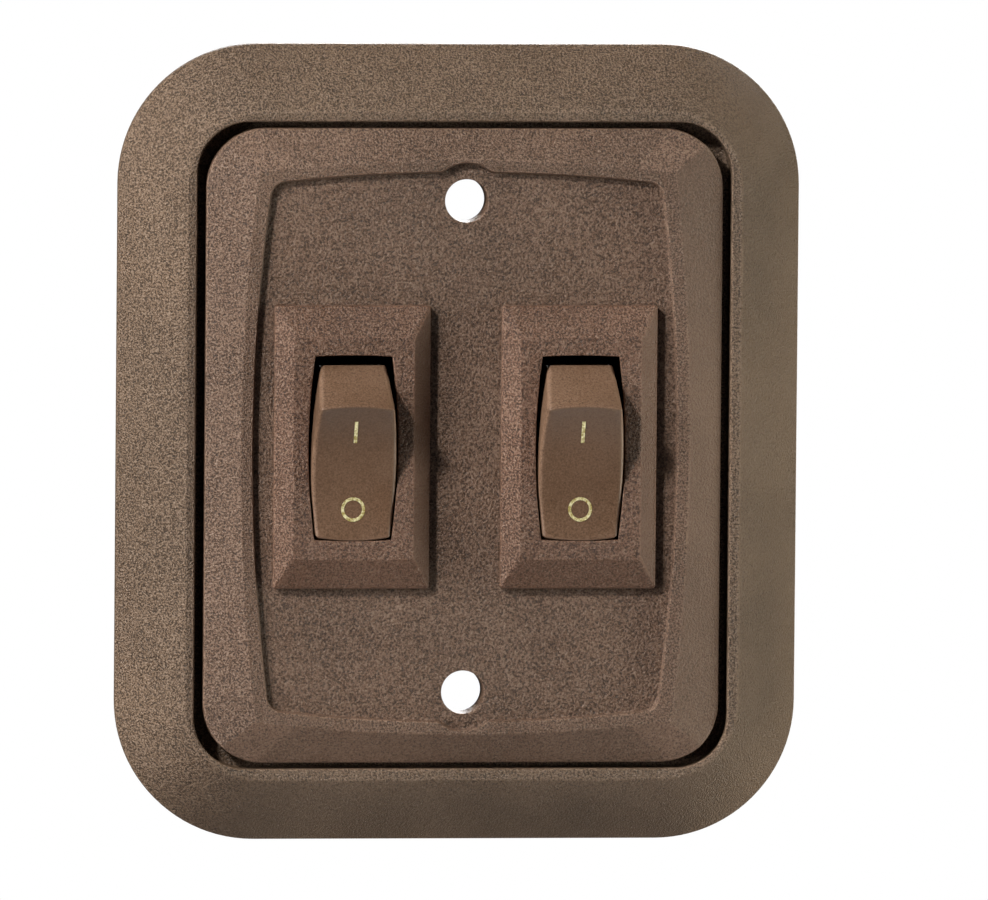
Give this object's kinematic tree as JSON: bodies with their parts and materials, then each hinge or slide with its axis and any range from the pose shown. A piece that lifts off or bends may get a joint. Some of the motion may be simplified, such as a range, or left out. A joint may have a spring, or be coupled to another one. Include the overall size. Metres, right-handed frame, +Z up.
{
  "type": "double rocker switch wall plate",
  "caption": "Bevelled wall plate cover: a trim ring framing a loose face plate that holds rocker switches side by side, with screw holes above and below.",
  "frame": {"origin": "centre of the plate in the plane of the wall, which is also the centre of the whole box: the raised rocker crests stand as far in front of the wall as the terminals end behind it", "axes": "+X to the viewer's right, +Y into the wall, +Z up; the front faces -Y"},
  "size_m": [0.0842, 0.0332, 0.098],
  "materials": {
    "ring_plastic": "fine spark-eroded grain, brown ABS",
    "plate_plastic": "fine spark-eroded grain, brown ABS",
    "switch_plastic": "fine grain, brown",
    "rocker_plastic": "smooth satin, brown",
    "base_plastic": "satin, black",
    "spring_wire": "bright drawn wire",
    "terminal_metal": "stamped strip",
    "blade_metal": "stamped copper-alloy strip",
    "contact_silver": "satin silver",
    "gold_lettering": "hot-stamped foil"
  },
  "bodies": {
    "trim_ring": {"trim_ring": "ring_plastic"},
    "face_plate": {"face_plate": "plate_plastic", "left_switch_housing": "switch_plastic", "left_rear_base": "base_plastic", "left_common_terminal": "terminal_metal", "left_load_terminal": "terminal_metal", "left_load_contact": "contact_silver", "right_switch_housing": "switch_plastic", "right_rear_base": "base_plastic", "right_common_terminal": "terminal_metal", "right_load_terminal": "terminal_metal", "right_load_contact": "contact_silver"},
    "left_rocker": {"left_rocker": "rocker_plastic", "left_plunger_spring": "spring_wire"},
    "left_plunger": {"left_plunger": "contact_silver"},
    "left_contact_blade": {"left_contact_blade": "blade_metal", "left_blade_contact": "contact_silver"},
    "right_rocker": {"right_rocker": "rocker_plastic", "right_plunger_spring": "spring_wire"},
    "right_plunger": {"right_plunger": "contact_silver"},
    "right_contact_blade": {"right_contact_blade": "blade_metal", "right_blade_contact": "contact_silver"}
  },
  "joints": [
    {"name": "face_plate_lift_off", "type": "slide", "parent": "trim_ring", "child": "face_plate", "axis": [0, -1, 0], "range_m": [0, 0.03]},
    {"name": "left_rocker_tilt", "type": "hinge", "parent": "face_plate", "child": "left_rocker", "pos_m": [-0.014, -0.0035, 0], "axis": [-1, 0, 0], "range_deg": [0, 30]},
    {"name": "left_contact_blade_tilt", "type": "hinge", "parent": "face_plate", "child": "left_contact_blade", "pos_m": [-0.014, 0.0012, 0], "axis": [1, 0, 0], "range_deg": [0, 14]},
    {"name": "left_plunger_travel", "type": "slide", "parent": "left_rocker", "child": "left_plunger", "axis": [0, -0.9659, -0.2588], "range_m": [0, 0.0005], "stiffness_N_per_m": 400, "deforming": ["left_plunger_spring"]},
    {"name": "right_rocker_tilt", "type": "hinge", "parent": "face_plate", "child": "right_rocker", "pos_m": [0.014, -0.0035, 0], "axis": [-1, 0, 0], "range_deg": [0, 30]},
    {"name": "right_contact_blade_tilt", "type": "hinge", "parent": "face_plate", "child": "right_contact_blade", "pos_m": [0.014, 0.0012, 0], "axis": [1, 0, 0], "range_deg": [0, 14]},
    {"name": "right_plunger_travel", "type": "slide", "parent": "right_rocker", "child": "right_plunger", "axis": [0, -0.9659, -0.2588], "range_m": [0, 0.0005], "stiffness_N_per_m": 400, "deforming": ["right_plunger_spring"]}
  ],
  "couplings": [
    {"joint": "left_contact_blade_tilt", "follows": "left_rocker_tilt", "ratio": 0.46667},
    {"joint": "right_contact_blade_tilt", "follows": "right_rocker_tilt", "ratio": 0.46667}
  ]
}
